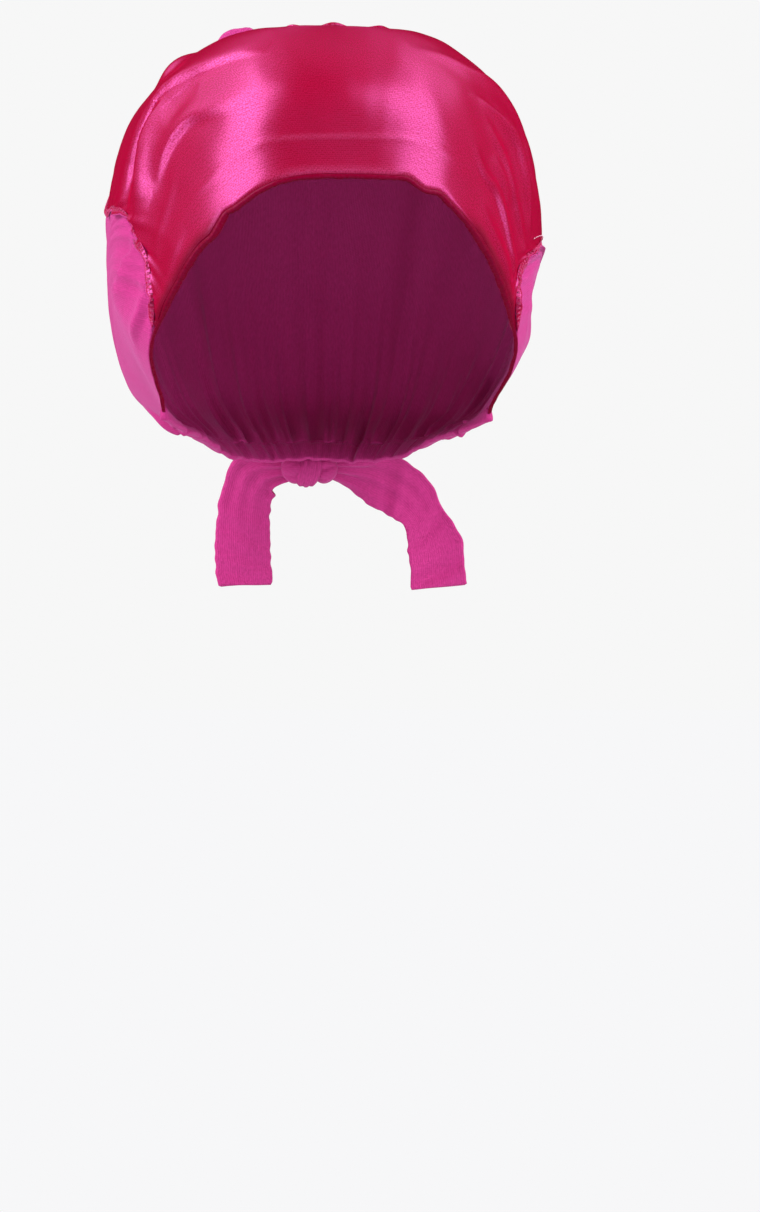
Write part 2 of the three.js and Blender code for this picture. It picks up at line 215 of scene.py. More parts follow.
def cloth_places(u, v):
    """Places in the cloth, in metres, from millimetres along and across it."""
    return np.stack(np.broadcast_arrays(u, v), axis=-1) * MM


def run_along(points):
    """How far each point of a line lies along it."""
    return np.concatenate([[0], np.cumsum(np.linalg.norm(np.diff(points, axis=0), axis=1))])


def at_run(at, run, values):
    """The values of a line at distances along it."""
    return np.stack([np.interp(at, run, values[:, axis]) for axis in range(3)], axis=-1)


def waves(x, shortest, longest, count, seed):
    """A smooth wobble of about -1 to 1 along x, mixed from sines of wavelengths in that range."""
    random = np.random.default_rng(seed)
    lengths = np.geomspace(shortest, longest, count)
    phases = random.uniform(0, FULL_TURN, count)
    x = np.asarray(x, float)[..., None]
    return np.sin(x * FULL_TURN / lengths + phases).sum(-1) / math.sqrt(count)


def lumps(points, size, seed, count=9):
    """A smooth unevenness of about -1 to 1 over points, with lumps of that size."""
    random = np.random.default_rng(seed)
    ways = unit(random.normal(size=(count, 3))) * FULL_TURN / size
    phases = random.uniform(0, FULL_TURN, count)
    return np.sin(points @ ways.T + phases).sum(-1) / math.sqrt(count)


# Splines over the cap.
def with_ends(knots):
    first = 2 * knots[:1] - knots[1:2]
    last = 2 * knots[-1:] - knots[-2:-1]
    return np.concatenate([first, knots, last])


def spline_weights(t, count):
    """The knot before each t from 0 to 1, and the weights of the four knots round it."""
    place = np.clip(t, 0, 1) * (count - 1)
    start = np.minimum(place.astype(int), count - 2)
    u = place - start
    weights = [
        -0.5 * u + u**2 - 0.5 * u**3,
        1 - 2.5 * u**2 + 1.5 * u**3,
        0.5 * u + 2 * u**2 - 1.5 * u**3,
        -0.5 * u**2 + 0.5 * u**3,
    ]
    return start, weights


def spline(knots, t):
    """Points at shares t of the uniform Catmull-Rom spline through knots."""
    knots = np.asarray(knots, float)
    t = np.atleast_1d(np.asarray(t, float))
    start, weights = spline_weights(t, len(knots))
    shape = (-1,) + (1,) * (knots.ndim - 1)
    spread = with_ends(knots)
    return sum(w.reshape(shape) * spread[start + k] for k, w in enumerate(weights))


def hoop_knots():
    hoops = []
    for row, hoop in enumerate(HOOPS):
        share = row / (len(HOOPS) - 1)
        corner = mix(np.array(FRONT_CORNER, float), np.array(REAR_CORNER, float), share)
        left = np.array([hoop["shoulder"], hoop["side"], hoop["cheek"], corner], float)
        right = (left * [-1, 1, 1])[::-1]
        hoops.append(np.concatenate([right, [hoop["top"]], left]))
    return np.array(hoops).swapaxes(0, 1)


HOOP_KNOTS = hoop_knots()


def smooth_point(across, back):
    """Points on the smooth cap, before folds."""
    across, back = np.broadcast_arrays(np.asarray(across, float), np.asarray(back, float))
    ribs = with_ends(spline(HOOP_KNOTS, (across.ravel() + 1) / 2).swapaxes(0, 1))
    start, weights = spline_weights(back.ravel(), len(HOOPS))
    column = np.arange(len(start))
    points = sum(w[:, None] * ribs[start + k, column] for k, w in enumerate(weights))
    return points.reshape(across.shape + (3,))


def directions(across, back):
    """Unit directions: along the hoop, from front to back over the crown, and outward."""
    step = 0.004
    a = np.clip(across, -1 + step, 1 - step)
    b = np.clip(back, step, 1 - step)
    along = unit(smooth_point(a + step, b) - smooth_point(a - step, b))
    over = unit(smooth_point(a, b + step) - smooth_point(a, b - step))
    return along, over, unit(np.cross(along, over))


class CapLine:
    """A line on the cap, from a function that gives across and back for shares 0 to 1."""

    def __init__(self, place, samples=1600):
        self.place = place
        self.shares = np.linspace(0, 1, samples)
        self.run = run_along(smooth_point(*place(self.shares).T))
        self.length = self.run[-1]

    def own_share(self, share):
        return np.interp(np.asarray(share) * self.length, self.run, self.shares)

    def spaced(self, share):
        return self.place(self.own_share(share))


SEAM_KNOTS = [(row["across"], row["back"], row["nape"]) for row in SEAM]
seam_line = CapLine(lambda t: spline(SEAM_KNOTS, t)[:, :2])
first_tip, last_tip = seam_line.place(np.array([0.0, 1.0]))
satin_edge = CapLine(lambda t: mix(first_tip, last_tip, np.asarray(t)[:, None]))
face_edge = CapLine(lambda t: np.stack([2 * t - 1, 0 * t], axis=-1))


def fold_height(points, out, fold):
    """How far one fold lifts the cloth at points whose outward directions are out."""
    line = smooth_point(*spline(fold["route"], np.linspace(0, 1, FOLD_SAMPLES)).T)
    tangents = heading(line)
    run = run_along(line)
    reach = 3 * max(fold["front"], fold["rear"]) + run[-1] / 2
    near = np.linalg.norm(points - line[FOLD_SAMPLES // 2], axis=1) < reach
    height = np.zeros(len(points))
    if not near.any():
        return height
    spot = points[near]
    nearest = np.linalg.norm(spot[:, None] - line, axis=2).argmin(axis=1)
    offset = spot - line[nearest]
    tangent = tangents[nearest]
    on = np.clip(run[nearest] + dot(offset, tangent)[:, 0], 0, run[-1])
    foot = at_run(on, run, line)
    away = spot - foot
    distance = np.linalg.norm(away, axis=1)
    side = dot(np.cross(out[near], tangent), away)[:, 0]
    # Seen from outside, the face edge is on the left of a fold that runs to the wearer's right.
    forward = side * np.sign(fold["route"][-1][0] - fold["route"][0][0]) < 0
    softness = np.where(forward, fold["front"], fold["rear"])
    ends = np.sin(math.pi * np.clip(on / run[-1], 0.02, 0.98)) ** FOLD_TAPER
    height[near] = fold["height"] * ends * hill(distance, softness)
    return height


def gather_wave(across):
    """The uneven gathers that the nape tunnel draws into the cloth, from -1 to 1."""
    main = np.sin(across * 9 * FULL_TURN + 0.9 * waves(across, 0.2, 0.5, 4, 3))
    fine = waves(across, 0.03, 0.08, 8, 4)
    return 0.7 * main + 0.45 * fine


def relief(across, back):
    """How far the cloth stands off the smooth cap."""
    shape = np.broadcast(across, back).shape
    a = np.broadcast_to(across, shape).ravel()
    b = np.broadcast_to(back, shape).ravel()
    points = smooth_point(a, b)
    out = directions(a, b)[2]
    height = sum(fold_height(points, out, fold) for fold in FOLDS)
    rise = smoothstep(b, 1 - NAPE_GATHER_REACH, 1 - NAPE_HEM)
    press = 1 - NAPE_FLATTENING * smoothstep(b, 1 - NAPE_HEM, 1)
    height = height + NAPE_GATHER_HEIGHT * rise * press * gather_wave(a)
    height = height + BROAD_LUMPS * lumps(points, 34, 11) + SMALL_LUMPS * lumps(points, 14, 12)
    return height.reshape(shape)


def hem_shift(across, back):
    """How far the cloth near the face edge is drawn towards the face, in its dips and rises."""
    fade = 1 - smoothstep(back, 0, HEM_WAVE_REACH)
    waves_here = [w["ahead"] * hill(across - w["across"], w["reach"]) for w in HEM_WAVES]
    return sum(waves_here) * fade


def cloth(across, back, offset, extra=0):
    """Points at an offset from the cloth's middle; extra is relief of the piece's own."""
    _, over, out = directions(across, back)
    lift = relief(across, back) + extra + offset
    shift = hem_shift(across, back)
    return smooth_point(across, back) + out * lift[..., None] - over * shift[..., None]


# Meshes.
RIM_BULGE = 0.7  # in halves of the wall


def mesh_piece(name, points, faces, uv, materials, face_materials=None):
    """A mesh object from points in millimetres. uv is one pair for each point, in metres of cloth."""
    mesh = bpy.data.meshes.new(name)
    faces = faces.tolist() if isinstance(faces, np.ndarray) else faces
    mesh.from_pydata((np.asarray(points) * MM).tolist(), [], faces)
    layer = mesh.uv_layers.new(name="cloth")
    corners = np.zeros(len(mesh.loops), np.int32)
    mesh.loops.foreach_get("vertex_index", corners)
    layer.data.foreach_set("uv", np.asarray(uv, np.float32)[corners].ravel())
    for material in materials:
        mesh.materials.append(material)
    if face_materials is not None:
        mesh.polygons.foreach_set("material_index", np.asarray(face_materials, np.int32))
    mesh.polygons.foreach_set("use_smooth", np.ones(len(mesh.polygons), bool))
    shape = bmesh.new()
    shape.from_mesh(mesh)
    bmesh.ops.recalc_face_normals(shape, faces=shape.faces)
    shape.to_mesh(mesh)
    shape.free()
    mesh.update()
    piece = bpy.data.objects.new(name, mesh)
    bpy.context.scene.collection.objects.link(piece)
    return piece


def grid_quads(columns, rows):
    """Quads between the points of a grid with columns and rows of cells, stored column by column."""
    i, j = np.meshgrid(np.arange(columns), np.arange(rows), indexing="ij")
    first = (i * (rows + 1) + j).ravel()
    ahead = first + rows + 1
    return np.stack([first, ahead, ahead + 1, first + 1], axis=1)


def ring_quads(cells, sides, rings, turned=False):
    """Quads between rings of points. With as many cells as rings the last ring meets the first."""
    i, j = np.meshgrid(np.arange(cells), np.arange(sides), indexing="ij")
    after = (i + 1) % rings * sides
    beside = (j + 1) % sides
    corners = [i * sides + j, i * sides + beside, after + beside, after + j]
    if turned:
        corners = corners[:1] + corners[:0:-1]
    return np.stack([corner.ravel() for corner in corners], axis=1)


def wall_mesh(outer, inner, uv):
    """A closed wall between two grids of points, whose rims bulge a little as folded cloth does."""
    columns, rows = outer.shape[0] - 1, outer.shape[1] - 1
    size = (columns + 1) * (rows + 1)
    index = np.arange(size).reshape(columns + 1, rows + 1)
    border = np.concatenate([index[:, 0], index[-1, 1:], index[-2::-1, -1], index[0, -2:0:-1]])
    flat_outer = outer.reshape(-1, 3)
    flat_inner = inner.reshape(-1, 3)
    # The rim's middle line lies a little outside both sheets.
    inward_index = np.concatenate([index[:, 1], index[-2, 1:], index[-2::-1, -2], index[1, -2:0:-1]])
    middle = (flat_outer[border] + flat_inner[border]) / 2
    outward = unit(flat_outer[border] - flat_outer[inward_index] + 1e-9)
    half = np.linalg.norm(flat_outer[border] - flat_inner[border], axis=1, keepdims=True) / 2
    rim = middle + outward * half * RIM_BULGE
    points = np.concatenate([flat_outer, flat_inner, rim])
    quads = grid_quads(columns, rows)
    count = len(border)
    here = np.arange(count)
    after = (here + 1) % count
    rim_outer = np.stack([border[here], 2 * size + here, 2 * size + after, border[after]], axis=1)
    rim = [2 * size + here, size + border[here], size + border[after], 2 * size + after]
    rim_inner = np.stack(rim, axis=1)
    faces = np.concatenate([quads, size + quads[:, ::-1], rim_outer, rim_inner])
    sheets = np.repeat([0, 1, 0, 1], [len(quads), len(quads), count, count])
    flat_uv = uv.reshape(-1, 2)
    all_uv = np.concatenate([flat_uv, flat_uv, flat_uv[border]])
    return points, faces, all_uv, sheets


def tube_mesh(path, up, across_radius, up_radius, sides, roundness=2.0):
    """A closed tube along a path. The radii may be arrays along it; roundness over 2 is boxier."""
    tangent = heading(path)
    side = unit(np.cross(up, tangent))
    lift = np.cross(tangent, side)
    angle = around(sides)
    bend = 2 / roundness
    cosine = pressed(np.cos(angle), bend)
    sine = pressed(np.sin(angle), bend)
    a = np.broadcast_to(across_radius, len(path))[:, None, None]
    b = np.broadcast_to(up_radius, len(path))[:, None, None]
    ring = a * side[:, None] * cosine[:, None] + b * lift[:, None] * sine[:, None]
    points = (path[:, None] + ring).reshape(-1, 3)
    quads = ring_quads(len(path) - 1, sides, len(path))
    u = np.repeat(run_along(path), sides)
    v = np.tile(angle / FULL_TURN * 3, len(path))
    return points, quads, cloth_places(u, v)


def capped_tube(path, up, across_radius, up_radius, sides, roundness=2.0):
    """A tube whose ends are closed by fans."""
    points, quads, uv = tube_mesh(path, up, across_radius, up_radius, sides, roundness)
    last = len(points)
    points = np.concatenate([points, path[:1], path[-1:]])
    uv = np.concatenate([uv, uv[:1], uv[-1:]])
    ring = np.arange(sides)
    start = [[last, b, a] for a, b in zip(ring, np.roll(ring, -1))]
    base = last - sides
    end = [[last + 1, base + a, base + b] for a, b in zip(ring, np.roll(ring, -1))]
    return points, quads.tolist() + start + end, uv


def joined(parts):
    """One set of points, faces and uv from several."""
    points, faces, uv = [], [], []
    base = 0
    for part_points, part_faces, part_uv in parts:
        points.append(part_points)
        uv.append(part_uv)
        faces += [[base + k for k in face] for face in part_faces]
        base += len(part_points)
    return np.concatenate(points), faces, np.concatenate(uv)


# Materials.
SATIN_COLOUR = (0.48, 0.0, 0.04)
SATIN_DEEP = (0.34, 0.0, 0.018)
SATIN_GLOSS = (1.0, 0.19, 0.68)
# Painted shade: the dark crimson of the rolled edge round the face and of the satin beside it at the
# sides, where the cloth turns under towards the face.
SATIN_PAINTED_SHADE = (0.17, 0.0, 0.016)
# Painted highlight: the pink put into the satin's colour along lines over the turned-in layer and beside
# the rolled edge.
SATIN_PAINTED_HIGHLIGHT = (0.85, 0.12, 0.36)
SATIN_BACK = (0.4, 0.008, 0.07)
SATIN_SHINE = (0.6, 2.0)  # the specular level of the dull and of the bright grains
EDGE_SHINE = (0.05, 0.2)
JERSEY_COLOUR = (0.54, 0.03, 0.23)
JERSEY_DEEP = (0.33, 0.013, 0.125)
THREAD_COLOUR = (0.7, 0.04, 0.2)
PALE_THREAD_COLOUR = (0.9, 0.4, 0.54)
# The painted shade on the satin beside the rolled edge at the sides: shares of half the panel, and
# metres.
SIDE_HEM_START = 0.56
SIDE_HEM_FULL = 0.66
SIDE_HEM_DARK = 0.0008
SIDE_HEM_REACH = 0.0045
# The painted highlight lines over the raw edge of the turned-in layer and beside the rolled edge, in
# metres.
FACING_LINE = 0.0135
FACING_LINE_REACH = 0.0016
HEM_LINE_REACH = 0.0035
LINE_SHARE = 0.42
LINE_FADE = (0.3, 0.5)  # shares of half the panel


class Nodes:
    """A small helper that adds nodes to a material and links them."""

    def __init__(self, name):
        self.material = bpy.data.materials.new(name)
        self.material.use_nodes = True
        self.tree = self.material.node_tree
        self.shader = next(n for n in self.tree.nodes if n.type == "BSDF_PRINCIPLED")

    def add(self, kind, settings=(), inputs=(), links=()):
        node = self.tree.nodes.new(kind)
        for key, value in dict(settings).items():
            setattr(node, key, value)
        for key, value in dict(inputs).items():
            node.inputs[key].default_value = value
        for key, socket in dict(links).items():
            self.tree.links.new(socket, node.inputs[key])
        return node

    def set(self, **values):
        for key, value in values.items():
            self.shader.inputs[key.replace("_", " ")].default_value = value

    def link(self, key, socket):
        self.tree.links.new(socket, self.shader.inputs[key])

    def math(self, operation, first, second):
        node = self.add("ShaderNodeMath", {"operation": operation})
        for slot, value in enumerate((first, second)):
            if isinstance(value, (int, float)):
                node.inputs[slot].default_value = value
            else:
                self.tree.links.new(value, node.inputs[slot])
        return node.outputs[0]

    def cloth_uv(self):
        return self.add("ShaderNodeUVMap", {"uv_map": "cloth"}).outputs["UV"]

    def stretched(self, vector, across, along):
        node = self.add("ShaderNodeMapping", {}, {"Scale": (across, along, 1.0)}, {"Vector": vector})
        return node.outputs["Vector"]

    def noise(self, vector, scale, detail=2.0, roughness=0.5):
        inputs = {"Scale": scale, "Detail": detail, "Roughness": roughness}
        node = self.add("ShaderNodeTexNoise", {}, inputs, {"Vector": vector})
        return node.outputs["Fac"]

    def stripes(self, vector, scale, direction, distortion=0.0):
        settings = {"wave_type": "BANDS", "bands_direction": direction, "wave_profile": "SIN"}
        inputs = {"Scale": scale, "Distortion": distortion, "Detail": 2.0}
        node = self.add("ShaderNodeTexWave", settings, inputs, {"Vector": vector})
        return node.outputs["Fac"]

    def blend(self, fac, first, second):
        node = self.add("ShaderNodeMix", {"data_type": "RGBA"})
        for slot, tone in ((6, first), (7, second)):
            if isinstance(tone, tuple):
                node.inputs[slot].default_value = (*tone, 1)
            else:
                self.tree.links.new(tone, node.inputs[slot])
        self.tree.links.new(fac, node.inputs[0])
        return node.outputs[2]

    def spread(self, value, low, high, start=0.0, end=1.0):
        inputs = {"From Min": start, "From Max": end, "To Min": low, "To Max": high}
        return self.add("ShaderNodeMapRange", {}, inputs, {"Value": value}).outputs["Result"]

    def bump(self, height, strength, distance):
        inputs = {"Strength": strength, "Distance": distance}
        return self.add("ShaderNodeBump", {}, inputs, {"Height": height}).outputs["Normal"]

    def times(self, first, second):
        return self.math("MULTIPLY", first, second)

    def distance(self, value, place):
        return self.math("ABSOLUTE", self.math("SUBTRACT", value, place), 0)

    def weighted(self, *terms):
        """The sum of sockets, each times its share."""
        total = self.times(*terms[0])
        for term in terms[1:]:
            total = self.math("ADD", total, self.times(*term))
        return total


def panel_place(made, uv):
    """How far across from the satin panel's middle, in halves of the panel, and up from its hem."""
    place = made.add("ShaderNodeSeparateXYZ", {}, {}, {"Vector": uv}).outputs
    half = seam_line.length * MM / 2
    return made.math("DIVIDE", made.distance(place["X"], half), half), place["Y"]


def unshaded_satin(made, from_middle, from_hem):
    """0 where shade is painted on the satin as it turns into the rolled edge at the sides of the face,
    and 1 elsewhere.
    """
    at_side = made.spread(from_middle, 0, 1, SIDE_HEM_START, SIDE_HEM_FULL)
    at_hem = made.spread(from_hem, 1, 0, SIDE_HEM_DARK, SIDE_HEM_REACH)
    return made.math("SUBTRACT", 1, made.times(at_side, at_hem))


def painted_highlight_lines(made, from_middle, from_hem, speckle):
    """How much highlight is painted on the satin along the turned-in layer and beside the rolled edge, in
    the middle of the panel.
    """
    over_edge = made.spread(made.distance(from_hem, FACING_LINE), 0.7, 0, 0.0002, FACING_LINE_REACH)
    over_hem = made.spread(from_hem, 1, 0, 0.0006, HEM_LINE_REACH)
    lines = made.math("MAXIMUM", over_edge, over_hem)
    lines = made.times(lines, made.spread(from_middle, 1, 0, *LINE_FADE))
    return made.times(made.times(lines, speckle), LINE_SHARE)


def satin_material(name, light, deep, gloss, painted_hem_light=False):
    """Crimson polyester satin: fine floats across the cloth, a pink gloss and a sparkling grain; near the
    hem it can get painted shade and painted highlight lines.
    """
    made = Nodes(name)
    uv = made.cloth_uv()
    patches = made.noise(uv, 60.0, 3.0)
    grain = made.noise(uv, 1400.0, 0.0)
    speckle = made.spread(grain, 0.0, 1.0, 0.32, 0.68)
    colour = made.blend(made.weighted((patches, 0.4), (speckle, 0.6)), deep, light)
    floats = made.stripes(uv, 420.0, "Y", 1.2)
    shine = made.spread(made.weighted((grain, 0.85), (floats, 0.15)), *gloss, 0.34, 0.66)
    if painted_hem_light:
        place = panel_place(made, uv)
        # Painted shade: beside the hem at the sides the satin darkens into the rolled edge's colour and
        # loses most of its gloss.
        unshaded = unshaded_satin(made, *place)
        colour = made.blend(unshaded, SATIN_PAINTED_SHADE, colour)
        bright = made.spread(grain, 0, 1, 0.4, 0.6)
        # Painted highlight: pink speckled lines over the turned-in layer's edge and beside the hem.
        colour = made.blend(painted_highlight_lines(made, *place, bright), colour, SATIN_PAINTED_HIGHLIGHT)
        shine = made.times(shine, made.spread(unshaded, 0.1, 1))
    made.link("Base Color", colour)
    made.link("Specular IOR Level", shine)
    made.link("Roughness", made.spread(grain, 0.3, 0.38))
    tangent = made.add("ShaderNodeTangent", {"direction_type": "RADIAL", "axis": "Z"})
    made.link("Tangent", tangent.outputs["Tangent"])
    weave = made.weighted((grain, 0.8), (floats, 0.3))
    made.link("Normal", made.bump(weave, 0.03, 0.0004))
    made.set(IOR=2.2, Specular_Tint=(*SATIN_GLOSS, 1), Anisotropic=0.75, Anisotropic_Rotation=0.25)
    return made.material


def satin_back_material():
    """The dull wrong side of the satin."""
    made = Nodes("satin_back")
    uv = made.cloth_uv()
    grain = made.noise(uv, 1500.0, 2.0, 0.6)
    made.link("Base Color", made.blend(grain, SATIN_BACK, SATIN_DEEP))
    made.link("Roughness", made.spread(grain, 0.5, 0.75))
    made.link("Normal", made.bump(made.stripes(uv, 300.0, "X", 1.0), 0.3, 0.0003))
    made.set(Sheen_Weight=0.2, Sheen_Roughness=0.4, Sheen_Tint=(1.0, 0.3, 0.6, 1))
    return made.material


def jersey_material():
    """Magenta knitted jersey: fine wales along the cloth, with a soft fuzz."""
    made = Nodes("jersey_face")
    uv = made.cloth_uv()
    wales = made.stripes(uv, 350.0, "X", 0.6)
    courses = made.stripes(uv, 480.0, "Y", 0.8)
    fuzz = made.noise(uv, 900.0, 3.0, 0.7)
    patches = made.noise(uv, 45.0, 3.0)
    flecks = made.noise(made.stretched(uv, 1.0, 0.75), 1000.0, 1.0)
    mottle = made.spread(flecks, 0, 1, 0.3, 0.7)
    shade = made.weighted((wales, 0.25), (patches, 0.2), (mottle, 0.35))
    made.link("Base Color", made.blend(shade, JERSEY_COLOUR, JERSEY_DEEP))
    knit = made.weighted((wales, 0.7), (courses, 0.25), (fuzz, 0.5))
    made.link("Normal", made.bump(knit, 0.4, 0.00035))
    made.link("Roughness", made.spread(fuzz, 0.7, 0.95))
    made.set(
        Specular_IOR_Level=0.35,
        Sheen_Weight=0.22,
        Sheen_Roughness=0.35,
        Sheen_Tint=(0.9, 0.5, 1.0, 1),
    )
    return made.material


def thread_material(name, colour):
    """Twisted polyester thread."""
    made = Nodes(name)
    uv = made.cloth_uv()
    twist = made.stripes(uv, 900.0, "DIAGONAL", 0.4)
    darker = tuple(0.55 * c for c in colour)
    made.link("Base Color", made.blend(twist, darker, colour))
    made.link("Normal", made.bump(twist, 0.5, 0.0002))
    made.link("Roughness", made.spread(made.noise(uv, 700.0), 0.4, 0.65))
    made.set(Sheen_Weight=0.2, Sheen_Tint=(1.0, 0.5, 0.8, 1))
    return made.material


satin = satin_material("satin_face", SATIN_COLOUR, SATIN_DEEP, SATIN_SHINE, painted_hem_light=True)
frill_satin = satin_material("satin_frill", SATIN_COLOUR, SATIN_DEEP, SATIN_SHINE)
# The rolled edge's satin: a darker copy of the satin with less gloss, painted shade.
painted_shade_satin = satin_material("satin_edge", SATIN_PAINTED_SHADE, SATIN_PAINTED_SHADE, EDGE_SHINE)
satin_back = satin_back_material()
jersey = jersey_material()
thread = thread_material("sewing_thread", THREAD_COLOUR)
pale_thread = thread_material("pale_sewing_thread", PALE_THREAD_COLOUR)

# The front panel.
FRONT_COLUMNS = 370
FRONT_ROWS = 118
FACING_RIDGE = 0.25  # how far the raw edge of the turned-in layer shows through
FACING_RIDGE_WIDTH = 1.4
HEM_TUCK = 1.9  # the stretch over which the satin turns down into the rolled edge
HEM_TUCK_DEPTH = 0.3


def panel_places(front, rear, rows, trims, bend):
    """Places from a front line to a rear line, and how far each lies from both, in millimetres."""
    length = np.linalg.norm(smooth_point(*front.T) - smooth_point(*rear.T), axis=1)[:, None]
    start = trims[0] / length
    share = start + (1 - start - trims[1] / length) * np.linspace(0, 1, rows + 1)
    across = mix(front[:, :1], rear[:, :1], np.clip(share, 0, None) ** bend)
    back = mix(front[:, 1:], rear[:, 1:], share)
    return across, back, share * length, (1 - share) * length


def satin_extra(across, run, from_front, from_rear):
    """The puckers at the seam, the ridge of the turned-in layer and the tuck at the hem."""
    pucker = waves(run, 7, 26, 12, 21) * np.exp(-from_rear / SATIN_PUCKER_REACH)
    long_pucker = waves(run, 18, 50, 8, 22) * np.exp(-from_rear / (3 * SATIN_PUCKER_REACH))
    middle = hill(across, 0.5)
    ridge = hill(from_front - FACING_LINE / MM, FACING_RIDGE_WIDTH) * middle
    tuck = -HEM_TUCK_DEPTH * (1 - smoothstep(from_front, 0, HEM_TUCK))
    return SATIN_PUCKER * (pucker + 0.8 * long_pucker) + FACING_RIDGE * ridge + tuck


def front_panel():
    shares = np.linspace(TIP_TRIM, 1 - TIP_TRIM, FRONT_COLUMNS + 1)
    hem = satin_edge.spaced(shares + HEM_LEAN * np.sin(FULL_TURN * shares) / FULL_TURN)
    seam = seam_line.spaced(shares)
    across, back, from_front, from_rear = panel_places(hem, seam, FRONT_ROWS, (0, GAP), 1)
    run = shares[:, None] * seam_line.length
    extra = satin_extra(across, run, from_front, from_rear)
    outer = cloth(across, back, WALL / 2, extra)
    facing = FACING_WALL * smoothstep(FACING_DEPTH - from_front, 0, FACING_STEP)
    inner = cloth(across, back, THINNER - WALL / 2 - facing, extra)
    uv = cloth_places(run, from_front)
    points, faces, uv, sheets = wall_mesh(outer, inner, uv)
    return mesh_piece("front_panel_satin", points, faces, uv, [satin, satin_back], sheets)


# The back panel.
BACK_COLUMNS = 300
BACK_EDGE_COLUMNS = 24
BACK_ROWS = 150


def back_panel():
    t = seam_line.own_share(np.linspace(0, 1, BACK_COLUMNS + 1))
    line = spline(SEAM_KNOTS, t)
    start = np.linspace(0, 1, BACK_EDGE_COLUMNS + 1)[:-1, None]
    knots = np.array(SEAM_KNOTS)
    corner = np.array([1.0, 0.0])
    first_front = mix(corner * [-1, 1], knots[0, :2], start)
    last_front = mix(corner, knots[-1, :2], start)[::-1]
    first_rear = mix(np.array([-1.0, 1.0]), np.array([knots[0, 2], 1.0]), start)
    last_rear = mix(np.array([1.0, 1.0]), np.array([knots[-1, 2], 1.0]), start)[::-1]
    front = np.concatenate([first_front, line[:, :2], last_front])
    rear_middle = np.stack([line[:, 2], np.ones(len(line))], axis=1)
    rear = np.concatenate([first_rear, rear_middle, last_rear])
    across, back, from_front, _ = panel_places(front, rear, BACK_ROWS, (GAP, 0), JERSEY_BEND)
    run = run_along(smooth_point(*front.T))[:, None]
    # The seam draws the jersey into puckers, except along the face edge at both ends.
    sewn = smoothstep(np.arange(len(front)), BACK_EDGE_COLUMNS - 4, BACK_EDGE_COLUMNS + 16)
    sewn = sewn * sewn[::-1]
    pucker = waves(run, 8, 30, 12, 31) * np.exp(-from_front / JERSEY_PUCKER_REACH)
    near = 1 - smoothstep(from_front, 0, 3.0)
    pucker = pucker * (1 - 0.5 * near) * sewn[:, None]
    hang = smoothstep(from_front, 8, 60)
    drape = waves(run, 24, 70, 7, 33) * hang * np.exp(-from_front / 260)
    extra = JERSEY_PUCKER * pucker + DRAPE_HEIGHT * drape * sewn[:, None]
    outer = cloth(across, back, WALL / 2, extra)
    inner = cloth(across, back, THINNER - WALL / 2, extra)
    uv = cloth_places(run, from_front)
    points, faces, uv, sheets = wall_mesh(outer, inner, uv)
    return mesh_piece("back_panel_jersey", points, faces, uv, [jersey, jersey], sheets)


# The crown seam: a satin and a jersey allowance that stand up together, overlocked at their edge.
SEAM_HEIGHT = 2.2
SEAM_HEIGHT_TOP = 3.6
SEAM_PLY = 0.55
SEAM_COLUMNS = 1100
SEAM_ROWS = 5
SEAM_TRIM = 0.007
SEAM_RISE = 0.012  # the share of the seam over which it rises from its low ends
SEAM_END = 0.3
SEAM_SPLIT = 0.06
SEAM_LEAN_TOP = 0.05
SEAM_LEAN_SIDE = 1.1
SEAM_SWAY = 0.9
# Where the frill is tucked down into the folds.
SEAM_TUCKED = table(
    ("across", "back", "reach", "amount"),
    [
        (-0.33, 0.49, 0.19, 0.8),
        (-0.615, 0.185, 0.035, 0.85),
        (0.66, 0.34, 0.155, 0.95),
    ],
)
LOOP_LENGTH = 2.1
LOOP_DEPTH = 2.3
THREAD_RADIUS = 0.17


def seam_frame(share):
    """The foot of the frill, its upward and sideways directions, and its height, along the seam."""
    across, back = seam_line.spaced(share).T
    foot = cloth(across, back, np.full(len(share), WALL / 2))
    out = directions(across, back)[2]
    sideways = unit(np.cross(heading(foot), out))
    run = share * seam_line.length
    aside = smoothstep(np.abs(across), 0.35, 0.62)
    lean = mix(SEAM_LEAN_TOP, SEAM_LEAN_SIDE, aside) + 0.3 * waves(run, 14, 60, 8, 41)
    up = unit(out * np.cos(lean)[:, None] - sideways * np.sin(lean)[:, None])
    uneven = mix(0.34 * waves(run, 16, 30, 5, 45), 0.16 * waves(run, 5, 24, 8, 42), aside)
    height = mix(SEAM_HEIGHT_TOP, SEAM_HEIGHT, aside) * (1 + uneven)
    for tucked in SEAM_TUCKED:
        distance = np.hypot(across - tucked["across"], back - tucked["back"])
        height = height * (1 - tucked["amount"] * hill(distance, tucked["reach"], 4))
    for from_end in (share, 1 - share):
        height = height * mix(SEAM_END, 1, smoothstep(from_end, SEAM_TRIM, SEAM_TRIM + SEAM_RISE))
    return foot, up, sideways, height, run


def sway(run, up_share):
    curls = 0.3 * waves(run, 5, 11, 6, 43) + 1.1 * waves(run, 12, 28, 5, 44)
    return SEAM_SWAY * up_share**1.4 * curls


def frill_point(parts, up_share, side_offset):
    foot, up, sideways, height, run = parts
    shift = sway(run, np.clip(up_share, 0, 1.1)) + side_offset
    return foot + up * (height * up_share)[:, None] + sideways * shift[:, None]


